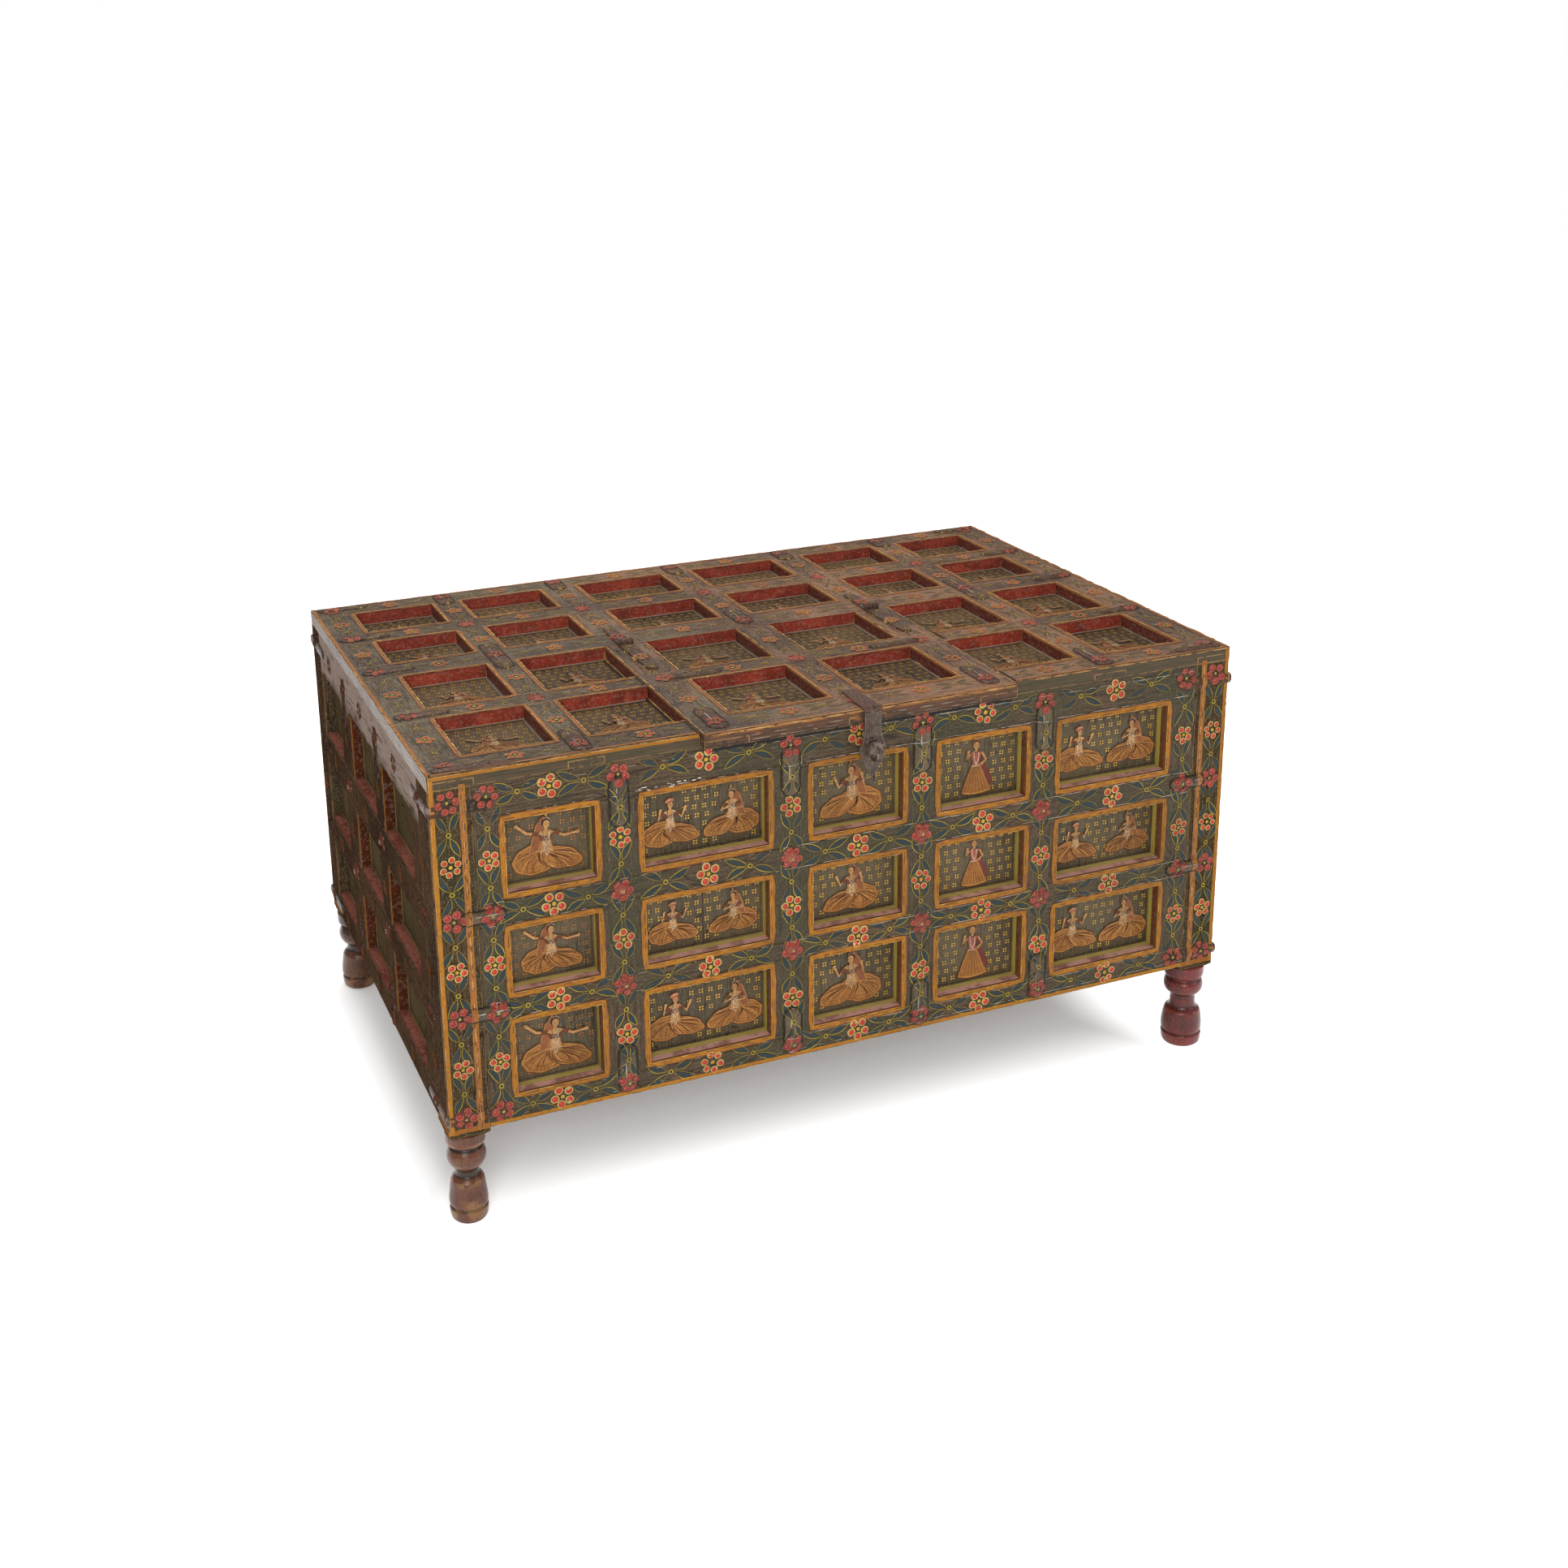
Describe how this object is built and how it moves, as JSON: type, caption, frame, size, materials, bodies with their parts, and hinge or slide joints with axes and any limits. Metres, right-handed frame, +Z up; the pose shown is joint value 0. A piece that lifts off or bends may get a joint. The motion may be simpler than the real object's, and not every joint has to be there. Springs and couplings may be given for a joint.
{
  "type": "damchiya chest",
  "caption": "Coffered wooden storage chest with iron straps, a hinged flap in its top, a hasp and staple, and turned legs.",
  "frame": {"origin": "on the floor, below the middle of the whole outline", "axes": "+X along the front to the right, +Y from the front to the back, +Z up"},
  "size_m": [1.1084, 0.7402, 0.6063],
  "materials": {
    "painted_wood": "worn dark green paint with painted flowers",
    "panel_wood": "worn dark green paint with painted figures",
    "red_leg_wood": "worn oxblood paint on the leg",
    "plain_wood": "old bare wood",
    "painted_iron": "iron painted over with the wood",
    "bare_iron": "dark worn iron"
  },
  "bodies": {
    "chest": {"back_boards": "plain_wood", "back_posts": "painted_wood", "back_rail_bottom": "plain_wood", "back_rail_top": "plain_wood", "corner_straps": "painted_iron", "floor_boards": "plain_wood", "floor_cleats": "plain_wood", "front_boards": "panel_wood", "front_bosses": "painted_iron", "front_posts": "painted_wood", "front_rail_bottom": "painted_wood", "front_rail_lower": "painted_wood", "front_rail_top": "painted_wood", "front_rail_upper": "painted_wood", "front_stiles": "painted_wood", "front_straps": "painted_iron", "hinge_left_body_leaf": "painted_iron", "hinge_left_pin": "bare_iron", "hinge_right_body_leaf": "painted_iron", "hinge_right_pin": "bare_iron", "left_boards": "panel_wood", "left_bosses": "painted_iron", "left_rails": "painted_wood", "left_stiles": "painted_wood", "left_straps": "painted_iron", "right_boards": "panel_wood", "right_bosses": "painted_iron", "right_rails": "painted_wood", "right_stiles": "painted_wood", "right_straps": "painted_iron", "staple": "bare_iron", "top_boards": "panel_wood", "top_bosses": "painted_iron", "top_rail_back": "painted_wood", "top_rail_front_left": "painted_wood", "top_rail_front_right": "painted_wood", "top_rail_hinge": "painted_wood", "top_rail_second": "painted_wood", "top_rail_side_left": "painted_wood", "top_rail_side_right": "painted_wood", "top_stiles": "painted_wood", "top_straps": "painted_iron"},
    "lid": {"lid_boards": "panel_wood", "lid_boss": "painted_iron", "lid_rail_front": "painted_wood", "lid_rail_middle": "painted_wood", "lid_stile_left": "painted_wood", "lid_stile_middle": "painted_wood", "lid_stile_right": "painted_wood", "lid_straps": "painted_iron", "hinge_left_lid_leaf": "painted_iron", "hinge_right_lid_leaf": "painted_iron", "hasp_strap": "painted_iron", "hasp_pin": "bare_iron"},
    "hasp": {"hasp_plate": "bare_iron"}
  },
  "joints": [
    {"name": "lid_hinge", "type": "hinge", "parent": "chest", "child": "lid", "pos_m": [0, 0.02085, 0.6013], "axis": [-1, 0, 0], "range_deg": [0, 180]},
    {"name": "hasp_hinge", "type": "hinge", "parent": "lid", "child": "hasp", "pos_m": [0.0088, -0.34765, 0.5975], "axis": [-1, 0, 0], "range_deg": [0, 180]}
  ]
}
